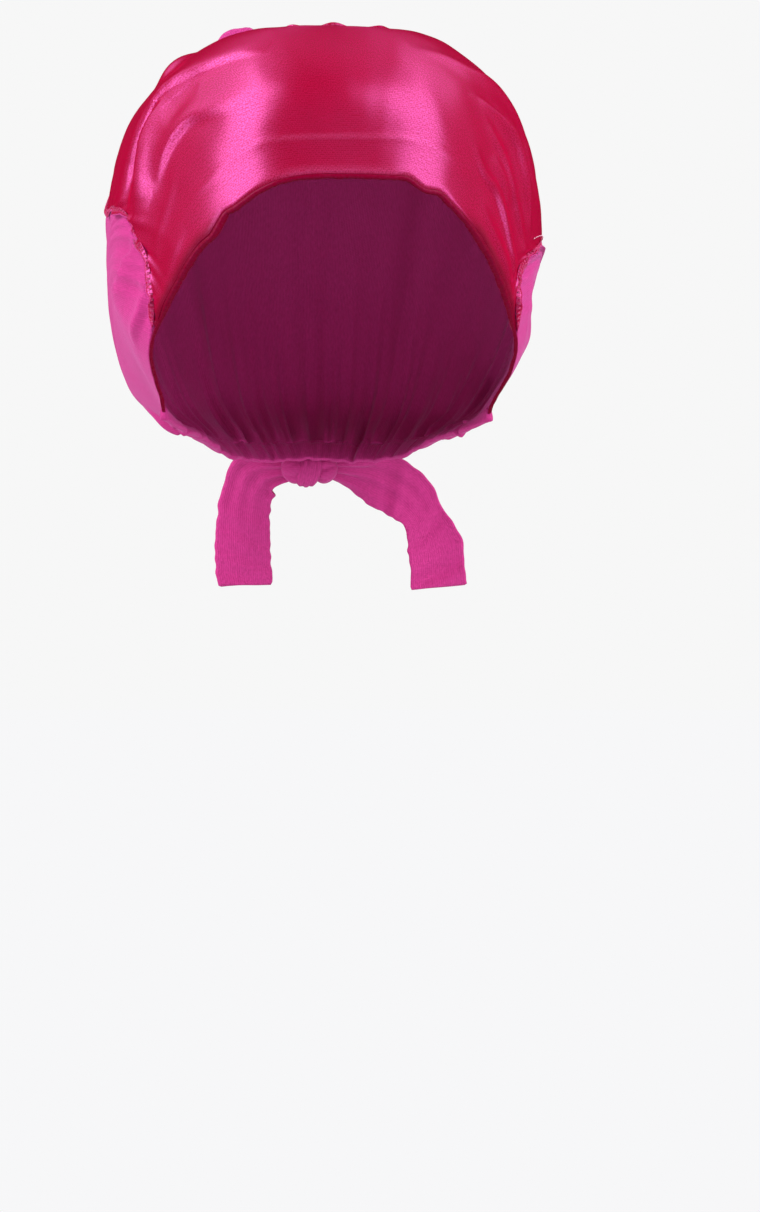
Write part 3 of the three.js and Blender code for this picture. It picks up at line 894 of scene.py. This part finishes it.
def crown_seam():
    share = np.linspace(SEAM_TRIM, 1 - SEAM_TRIM, SEAM_COLUMNS + 1)
    parts = seam_frame(share)
    run = parts[4]
    pieces = []
    heights = np.linspace(0, 1, SEAM_ROWS + 1)
    for name, side, material in (("crown_seam_satin", 1, frill_satin), ("crown_seam_jersey", -1, jersey)):
        near, far = [
            np.stack([frill_point(parts, u, side * offset) for u in heights], axis=1)
            for offset in (SEAM_SPLIT, SEAM_SPLIT + SEAM_PLY)
        ]
        outer, inner = (near, far) if side < 0 else (far, near)
        v = np.linspace(0, SEAM_HEIGHT, SEAM_ROWS + 1)
        uv = cloth_places(run[:, None], v)
        points, faces, uv, _ = wall_mesh(inner, outer, uv)
        pieces.append(mesh_piece(name, points, faces, uv, [material]))
    return pieces


def overlock():
    """Thread loops over the frill's edge."""
    loops = int(seam_line.length * (1 - 2 * SEAM_TRIM) / LOOP_LENGTH)
    per_loop = 10
    count = loops * per_loop
    share = np.linspace(SEAM_TRIM + 0.004, 1 - SEAM_TRIM - 0.004, count + 1)
    parts = seam_frame(share)
    phase = np.arange(count + 1) / per_loop * FULL_TURN
    height, run = parts[3:]
    reach = np.minimum(LOOP_DEPTH / np.maximum(height, 0.5), 0.8)
    top = 1.02 + 0.03 * waves(run, 3, 9, 5, 51)
    up_share = top - reach * (0.5 - 0.5 * np.cos(2 * phase)) * np.where(np.sin(phase) > 0, 1, 0.86)
    side = (SEAM_PLY + 0.24) * np.clip(1.7 * np.sin(phase), -1, 1)
    path = frill_point(parts, up_share, side)
    tube = capped_tube(path, np.array([0.13, 0.21, 0.97]), THREAD_RADIUS, THREAD_RADIUS, 5)
    return mesh_piece("overlock_thread", *tube, [thread])


def stitch_row(path, up, length, gap, radius, rise):
    """Separate stitches along a path, each a short thread that dips into the cloth at both ends."""
    run = run_along(path)
    stitches = []
    steps = np.linspace(0, 1, 7)
    for start in np.arange(0, run[-1] - length, length + gap):
        at = start + steps * length
        lift = at_run(at, run, up)
        points = at_run(at, run, path) + lift * (rise * np.sin(math.pi * steps) - radius * 0.6)[:, None]
        stitches.append(capped_tube(points, unit(lift), radius, radius, 5))
    return joined(stitches)


# The line of stitches beside the seam on the wearer's left, where the satin is pulled flat.
NEEDLE_ROUTE = [(0.6, 0.44), (0.633, 0.398), (0.65, 0.335), (0.645, 0.25), (0.625, 0.163)]
NEEDLE_RISE = 0.4
NEEDLE_STITCH = {"length": 1.6, "gap": 1.0, "radius": 0.22, "rise": 0.16}


def needle_line():
    across, back = spline(NEEDLE_ROUTE, np.linspace(0, 1, 300)).T
    path = cloth(across, back, WALL / 2, NEEDLE_RISE)
    out = directions(across, back)[2]
    return mesh_piece("needle_stitches", *stitch_row(path, out, **NEEDLE_STITCH), [pale_thread])


# The rolled edge round the face.
BINDING_RADIUS = 0.95
BINDING_DEPTH = 1.2
BINDING_STEPS = 900
BINDING_SIDES = 14
BINDING_SHIFT = 0.1
BINDING_ROUNDNESS = 2.2
BINDING_FULLEST = 0.5
BINDING_FULL_REACH = 0.13
BINDING_THINS = (0.64, 0.7)
JERSEY_STARTS = (0.69, 0.73)


def face_binding():
    share = np.linspace(0, 1, BINDING_STEPS + 1)
    across, back = face_edge.spaced(share).T
    run = share * face_edge.length
    # The roll is fullest beside the temples and thin along the jersey.
    from_middle = np.abs(across)
    fullness = 1 + 0.25 * hill(from_middle - BINDING_FULLEST, BINDING_FULL_REACH)
    fullness = fullness - 0.4 * smoothstep(from_middle, *BINDING_THINS)
    out = directions(across, back)[2]
    uneven = 1 + 0.07 * waves(run, 6, 24, 8, 61) + 0.03 * waves(run, 2, 5, 6, 62)
    across_radius = BINDING_RADIUS * uneven * fullness
    up_radius = BINDING_DEPTH * uneven * fullness
    # Beside the jersey, which is trimmed at this edge, the roll lies closer and further out.
    beside_jersey = smoothstep(from_middle, *JERSEY_STARTS)
    edge = cloth(across, back, mix(-FACING_WALL / 2 - BINDING_SHIFT, BINDING_SHIFT, beside_jersey))
    ahead = unit(np.cross(heading(edge), out))
    path = edge + ahead * (across_radius + mix(GAP, -BINDING_SHIFT, beside_jersey))[:, None]
    path = path + out * (0.12 * waves(run, 9, 40, 6, 63))[:, None]
    tube = capped_tube(path, out, across_radius, up_radius, BINDING_SIDES, BINDING_ROUNDNESS)
    # The roll wears the darker satin, painted shade of its turn under towards the face.
    return mesh_piece("face_edge_roll", *tube, [painted_shade_satin])


# The tunnel that gathers the lower edge.
CASING_HEIGHT = 11
CASING_FRONT_HEIGHT = 4
CASING_TAPER = 0.25
CASING_THICKNESS = 2.6
CASING_CORNER = 0.07
CASING_COLUMNS = 620
TUNNEL_OVERLAP = 1.6  # how far the tunnel reaches up over the edge of the panel
CASING_SIDES = 40
CASING_STITCH = {"length": 2.3, "gap": 0.7, "radius": 0.2, "rise": 0.16}
CASING_STITCH_POINTS = 2400
CASING_STITCH_TRIM = 60  # points without stitches at each end
CASING_STITCH_DOWN = 0.13  # the share of the tunnel's height where it is stitched


def casing_place(t):
    middle = 2 * (t - CASING_CORNER) / (1 - 2 * CASING_CORNER) - 1
    across = np.clip(middle, -1, 1)
    back = np.minimum(1, np.minimum(t, 1 - t) / CASING_CORNER)
    return np.stack([across, back], axis=-1)


casing_edge = CapLine(casing_place)


def casing_frame(count):
    """Points along the lower edge, with the directions away from the cloth and outward."""
    share = np.linspace(0, 1, count + 1)
    t = casing_edge.own_share(share)
    across, back = casing_place(t).T
    points = smooth_point(across, back)
    out = directions(across, back)[2]
    # The tunnel turns the corner smoothly, so its tangent is evened out over a short stretch.
    tangent = np.gradient(points, axis=0)
    kernel = np.hanning(25) / np.hanning(25).sum()
    padded = np.pad(tangent, ((12, 12), (0, 0)), mode="edge")
    tangent = np.stack([np.convolve(padded[:, k], kernel, mode="valid") for k in range(3)], axis=-1)
    away = unit(np.cross(out, unit(tangent)))
    full = smoothstep(np.minimum(t, 1 - t), 0, CASING_TAPER)
    height = mix(CASING_FRONT_HEIGHT, CASING_HEIGHT, full)
    lift = NAPE_GATHER_HEIGHT * (1 - NAPE_FLATTENING) * gather_wave(across) * (back > 0.999)
    return points, away, out, height, share * casing_edge.length, full, lift


def casing_sway(run, full, lift):
    return 0.45 * waves(run, 5, 14, 8, 73) * full + 0.6 * lift


def nape_casing():
    points, away, out, height, run, full, lift = casing_frame(CASING_COLUMNS)
    angle = around(CASING_SIDES)
    down = 0.5 - 0.5 * pressed(np.cos(angle), 0.8)
    thick = pressed(np.sin(angle), 0.55)
    pleat = waves(run, 3.6, 9, 10, 71)[:, None] * np.sin(math.pi * down) ** 0.5
    wide_pleat = waves(run, 9, 22, 6, 72)[:, None]
    puff = 1 + (0.22 * pleat + 0.12 * wide_pleat) * full[:, None]
    stitched = 1 - 0.45 * hill(down - CASING_STITCH_DOWN, 0.06) * np.ones_like(puff)
    section = thick * CASING_THICKNESS / 2 * puff * stitched
    drop = height[:, None] * down - TUNNEL_OVERLAP * (1 - down)
    sheet = casing_sway(run, full, lift)[:, None] * (1 - 0.5 * down)
    ring = (
        points[:, None]
        + away[:, None] * (drop + 0.35 * wide_pleat * full[:, None] * down)[..., None]
        + out[:, None] * (section + sheet)[..., None]
    )
    ends = ring[[0, -1]].mean(axis=1)
    all_points = np.concatenate([ring.reshape(-1, 3), ends])
    count = len(run)
    quads = ring_quads(count - 1, CASING_SIDES, count, turned=True).tolist()
    centre = count * CASING_SIDES
    last = centre - CASING_SIDES
    for j in range(CASING_SIDES):
        after = (j + 1) % CASING_SIDES
        quads.append([centre, j, after])
        quads.append([centre + 1, last + after, last + j])
    u = np.repeat(run, CASING_SIDES)
    v = np.tile(down * CASING_HEIGHT, count)
    uv = np.concatenate([np.stack([u, v], axis=1), [[0, 0], [run[-1], 0]]]) * MM
    return mesh_piece("nape_tunnel", all_points, quads, uv, [jersey])


def casing_stitches():
    points, away, out, height, run, full, lift = casing_frame(CASING_STITCH_POINTS)
    inset = WALL / 2 + height * CASING_STITCH_DOWN
    rise = casing_sway(run, full, lift) + 0.82 * CASING_THICKNESS / 2
    outside = points + away * inset[:, None] + out * rise[:, None]
    keep = slice(CASING_STITCH_TRIM, -CASING_STITCH_TRIM)
    row = stitch_row(outside[keep], out[keep], **CASING_STITCH)
    return mesh_piece("nape_stitches", *row, [thread])


# The knot and the two tails of the ties.
KNOT_HALF_WIDTH = 11.5
KNOT_HALF_HEIGHT = 8
KNOT_RADIUS = 7.5
KNOT_WAIST = 0.2
KNOT_WAIST_SPREAD = 0.3
KNOT_SEAT = 0.4
KNOT_RINGS = 96
KNOT_SIDES = 120
WRAP_STEPS = 110
WRAP_SIDES = 30
WRAP_SLANT = 1.4
WRAP_DEPTH = 5.3
WRAP_HEIGHT = 5.9
WRAP_HALF_WIDTH = 4.3
WRAP_THICKNESS = 1.9


def knot_centre():
    _, over, out = directions(np.array([0.0]), np.array([1.0]))
    lift = CASING_THICKNESS / 2 + KNOT_RADIUS - KNOT_SEAT
    return (smooth_point(0.0, 1.0) + over[0] * CASING_HEIGHT / 2 + out[0] * lift).ravel()


def knot_lobes(centre):
    """The two fat ends of the knot: a folded roll drawn in at its middle."""
    rings, sides = KNOT_RINGS, KNOT_SIDES
    angle = np.linspace(0.03, math.pi - 0.03, rings + 1)
    along = -KNOT_HALF_WIDTH * np.cos(angle)
    waist = 1 - (KNOT_WAIST + 0.28) * hill(np.cos(angle), KNOT_WAIST_SPREAD * 1.2)
    turn = around(sides)
    twist = turn[None] + 0.5 * np.sign(along)[:, None] * (np.abs(along)[:, None] / KNOT_HALF_WIDTH)
    folds = np.abs(np.sin(2.5 * twist + 0.6)) ** 0.7 + 0.5 * np.abs(np.sin(4 * twist + 1.9)) ** 0.8
    swell = 0.83 + 0.13 * folds * np.sin(angle)[:, None] ** 0.5
    radius = np.sin(angle)[:, None] ** 0.8 * waist[:, None] * swell
    y = KNOT_RADIUS * radius * np.cos(turn)
    z = KNOT_HALF_HEIGHT * radius * np.sin(turn)
    x = np.broadcast_to(along[:, None], y.shape)
    points = np.stack([x, y, z], axis=-1).reshape(-1, 3) + centre
    quads = ring_quads(rings, sides, rings + 1).tolist()
    quads.append(list(range(sides))[::-1])
    quads.append(list(range(rings * sides, (rings + 1) * sides)))
    u = np.tile(turn * KNOT_RADIUS, rings + 1)
    v = np.repeat(along, sides)
    return points, quads, cloth_places(u, v)


def knot_wrap(centre):
    """The band of cloth that passes round the middle of the knot, with creases along it."""
    steps, sides = WRAP_STEPS, WRAP_SIDES
    turn = around(steps)
    slant = WRAP_SLANT * np.sin(turn)
    path = np.stack([slant, WRAP_DEPTH * np.cos(turn), WRAP_HEIGHT * np.sin(turn)], axis=-1)
    out = unit(path * [0, 1, 1])
    angle = around(sides)
    half_width = WRAP_HALF_WIDTH + 0.5 * np.sin(2 * turn + 0.7)
    creases = 1 + 0.16 * np.cos(3 * math.pi * np.cos(angle))[None] * np.ones((steps, 1))
    x = half_width[:, None] * np.cos(angle)
    lift = WRAP_THICKNESS * np.sin(angle) * creases
    points = path[:, None] + np.array([1.0, 0, 0]) * x[..., None] + out[:, None] * lift[..., None]
    quads = ring_quads(steps, sides, steps, turned=True).tolist()
    u = np.repeat(turn * 6, sides)
    v = np.tile(np.cos(angle) * WRAP_HALF_WIDTH, steps)
    return points.reshape(-1, 3) + centre, quads, cloth_places(v, u)


def tie_knot():
    centre = knot_centre()
    points, faces, uv = joined([knot_lobes(centre), knot_wrap(centre)])
    return mesh_piece("tie_knot_cloth", points, faces, uv, [jersey])


TAIL_ROOT = 3.5
TAIL_THICKNESS = 1.2
TAIL_WIDTH = 22
TAIL_PINCH = 0.4
TAIL_OPENS = 0.3
TAIL_CURL = 1.6
TAIL_STEPS = 110
TAIL_COLUMNS = 44
TAILS = {
    "tie_tail_left": {
        "side": 1,
        "route": [(27, 81, -169), (43, 85, -179), (51.5, 83, -195), (53.5, 80, -214)],
        "unshaded": (0.022, 0.079),
        "wide": (1, 0.1, 0.3),
        "waist": (0.62, 0.1, 0.22),
        "seed": 81,
    },
    "tie_tail_right": {
        "side": -1,
        "route": [(-20, 78.5, -168), (-25, 84, -178), (-26, 85, -195), (-25, 82, -213)],
        "unshaded": (0.022, 0.062),
        "wide": (-1, 0.1, 1),
        "waist": (0.5, 0.15, 0.08),
        "seed": 82,
    },
}


def tie_tail(name, tail, centre):
    start = np.array([tail["side"] * (KNOT_HALF_WIDTH - TAIL_ROOT), centre[1], centre[2]])
    knots = np.concatenate([[start], tail["route"]])
    fine = spline(knots, np.linspace(0, 1, 400))
    fine_run = run_along(fine)
    share = np.linspace(0, 1, TAIL_STEPS + 1)
    run = share * fine_run[-1]
    path = at_run(run, fine_run, fine)
    tangent = heading(path)
    wide = unit(np.array(tail["wide"], float))
    edgeward = unit(wide - tangent * dot(wide, tangent))
    out = np.cross(tangent, edgeward)
    across = np.linspace(-1, 1, TAIL_COLUMNS + 1)[:, None]
    opened = mix(TAIL_PINCH, 1, np.minimum(1, share / TAIL_OPENS))
    waist_at, waist_reach, waist_depth = tail["waist"]
    opened = opened * (1 - waist_depth * hill(share - waist_at, waist_reach))
    edge_wobble = 1 + 0.025 * waves(share, 0.08, 0.3, 5, tail["seed"])
    half = opened * edge_wobble * TAIL_WIDTH / 2
    pleats = np.cos(across * 3.2 * math.pi + 0.8) * (1 - smoothstep(share, 0.0, 0.75))
    ripple = waves(run + 5 * across, 9, 26, 6, tail["seed"] + 5) * smoothstep(share, 0.1, 0.6)
    curl = TAIL_CURL * (opened * across) ** 2 + 0.8 * pleats + 0.7 * ripple
    hem = 0.25 * (smoothstep(np.abs(across), 0.8, 0.86) + smoothstep(share, 0.955, 0.965))
    middle = path + edgeward * (across * half)[..., None] + out * curl[..., None]
    thick = (TAIL_THICKNESS / 2 + 0.5 * np.clip(hem, 0, 0.3))[..., None]
    outer = middle + out * thick
    inner = middle - out * thick
    uv = cloth_places(across * TAIL_WIDTH / 2, run)
    points, faces, uv, sheets = wall_mesh(inner, outer, uv)
    cloths = [satin, jersey] if tail["side"] > 0 else [jersey, satin]
    return mesh_piece(name + "_cloth", points, faces, uv, cloths, sheets)


# Making the pieces, each hung on the root body, with the frame's parts that it stands for hidden.
def place_piece(piece, slot, *nodes):
    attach(piece, "root")
    if nodes:
        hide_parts(*nodes)
    return piece


front = place_piece(front_panel(), "satin", "front_panel")
rear = place_piece(back_panel(), "jersey", "back_panel")
seam_satin, seam_jersey = crown_seam()
place_piece(seam_satin, "satin")
place_piece(seam_jersey, "jersey", "crown_seam")
place_piece(overlock(), "thread")
place_piece(needle_line(), "thread")
place_piece(face_binding(), "satin", "face_binding")
tunnel = place_piece(nape_casing(), "jersey", "nape_casing")
tunnel_stitches = place_piece(casing_stitches(), "thread")
knot = place_piece(tie_knot(), "jersey", "tie_knot")
for name, tail in TAILS.items():
    place_piece(tie_tail(name, tail, knot_centre()), "jersey", name)

# The camera, at the photograph's place: level, six degrees towards the wearer's right.
CAMERA_TURN = math.radians(6)
CAMERA_DISTANCE = 1.9
CAMERA_ACROSS = 0.02106
CAMERA_HEIGHT = -0.2219
PHOTO_MM_PER_PIXEL = 0.39
PHOTO_HEIGHT = 1212
SENSOR = 36.0


def make_camera():
    data = bpy.data.cameras.new("camera")
    data.sensor_width = SENSOR
    data.lens = SENSOR * CAMERA_DISTANCE / (PHOTO_HEIGHT * PHOTO_MM_PER_PIXEL * MM)
    camera = bpy.data.objects.new("camera", data)
    right = Vector((math.cos(CAMERA_TURN), -math.sin(CAMERA_TURN), 0))
    look = Vector((math.sin(CAMERA_TURN), math.cos(CAMERA_TURN), 0))
    camera.location = right * CAMERA_ACROSS - look * CAMERA_DISTANCE + Vector((0, 0, CAMERA_HEIGHT))
    camera.rotation_mode = "QUATERNION"
    camera.rotation_quaternion = look.to_track_quat("-Z", "Y")
    bpy.context.scene.collection.objects.link(camera)
    bpy.context.scene.camera = camera


def softbox(name, azimuth, elevation, distance, size, power, shines):
    """A rectangular light that faces the cap. Azimuth 0 is in front, 90 on the wearer's left.

    One that doesn't shine only lights the cloth, and makes no gloss on it.
    """
    data = bpy.data.lights.new(name, "AREA")
    data.shape = "RECTANGLE"
    data.size, data.size_y = size
    data.energy = power
    light = bpy.data.objects.new(name, data)
    a = math.radians(azimuth)
    e = math.radians(elevation)
    way = Vector((math.sin(a) * math.cos(e), -math.cos(a) * math.cos(e), math.sin(e)))
    light.location = Vector(LIGHT_TARGET) + way * distance
    light.rotation_mode = "QUATERNION"
    light.rotation_quaternion = (-way).to_track_quat("-Z", "Y")
    light.visible_glossy = shines
    bpy.context.scene.collection.objects.link(light)


LIGHT_TARGET = (0, 0, -0.06)
LIGHTS = [
    # name, azimuth, elevation, distance, size, power, shines
    ("left_softbox", 50, 30, 1.4, (1.15, 1.8), 11, True),
    ("right_softbox", -71, 30, 1.4, (1.0, 1.8), 13, True),
    ("high_left_softbox", 112, 48, 1.5, (0.9, 1.0), 2.4, True),
    ("high_right_softbox", -120, 45, 1.5, (1.0, 1.0), 2.8, True),
    ("left_streak", 112, 20, 1.6, (0.35, 1.8), 0.2, True),
    ("left_fill", 50, 25, 1.6, (1.4, 1.4), 20, False),
    ("right_fill", -70, 25, 1.6, (1.4, 1.4), 18, False),
    ("left_side_fill", 105, 15, 1.8, (1.2, 1.2), 8, False),
    ("right_side_fill", -112, 15, 1.8, (1.2, 1.2), 10, False),
    ("rear_fill", 180, 15, 1.8, (1.6, 1.4), 9, False),
    ("top_softbox", 180, 62, 1.6, (2.2, 0.9), 1.2, True),
    ("front_fill", 0, -5, 2.4, (1.4, 1.4), 6, False),
]

FLOOR_HEIGHT = -0.9
FLOOR_RADIUS = 30
FLOOR_FADE = (0.5, 1.7)  # metres from the origin
PALE = (0.93, 0.93, 0.94)


def make_floor():
    """A pale disc well below the cap, which fades into the world's own tone away from it."""
    bpy.ops.mesh.primitive_circle_add(vertices=96, radius=FLOOR_RADIUS, fill_type="NGON")
    floor = bpy.context.object
    floor.location = (0, 0, FLOOR_HEIGHT)
    floor.name = "floor"
    made = Nodes("floor_paper")
    place = made.add("ShaderNodeNewGeometry").outputs["Position"]
    distance = made.add("ShaderNodeVectorMath", {"operation": "LENGTH"}, {}, {0: place}).outputs["Value"]
    fade = made.spread(distance, 0, 1, *FLOOR_FADE)
    glow = made.add("ShaderNodeEmission", {}, {"Color": (*PALE, 1), "Strength": 1.0})
    made.set(Base_Color=(0.8, 0.8, 0.81, 1), Roughness=0.9, Specular_IOR_Level=0.1)
    mixed = made.add("ShaderNodeMixShader")
    made.tree.links.new(fade, mixed.inputs[0])
    made.tree.links.new(made.shader.outputs[0], mixed.inputs[1])
    made.tree.links.new(glow.outputs[0], mixed.inputs[2])
    output = next(n for n in made.tree.nodes if n.type == "OUTPUT_MATERIAL")
    made.tree.links.new(mixed.outputs[0], output.inputs["Surface"])
    floor.data.materials.append(made.material)
    floor.visible_glossy = False


AMBIENT = 0.2
MIRRORED = 0.012


def make_world():
    """Pale to the eye, dimmer as a light and nearly dark in the gloss, which the softboxes shape."""
    world = bpy.data.worlds.new("studio")
    world.use_nodes = True
    tree = world.node_tree
    tree.nodes.clear()
    ray = tree.nodes.new("ShaderNodeLightPath")
    shown = None
    tones = (None, 1.0, AMBIENT), ("Is Glossy Ray", 1.0, MIRRORED), ("Is Camera Ray", PALE[0], 1.0)
    for kind, tone, strength in tones:
        background = tree.nodes.new("ShaderNodeBackground")
        background.inputs["Color"].default_value = (tone, tone, tone, 1)
        background.inputs["Strength"].default_value = strength
        if kind is None:
            shown = background
            continue
        mixed = tree.nodes.new("ShaderNodeMixShader")
        tree.links.new(ray.outputs[kind], mixed.inputs[0])
        tree.links.new(shown.outputs[0], mixed.inputs[1])
        tree.links.new(background.outputs[0], mixed.inputs[2])
        shown = mixed
    output = tree.nodes.new("ShaderNodeOutputWorld")
    tree.links.new(shown.outputs[0], output.inputs["Surface"])
    bpy.context.scene.world = world


make_camera()
for light in LIGHTS:
    softbox(*light)
make_floor()
make_world()
bpy.context.scene.view_settings.view_transform = "Standard"
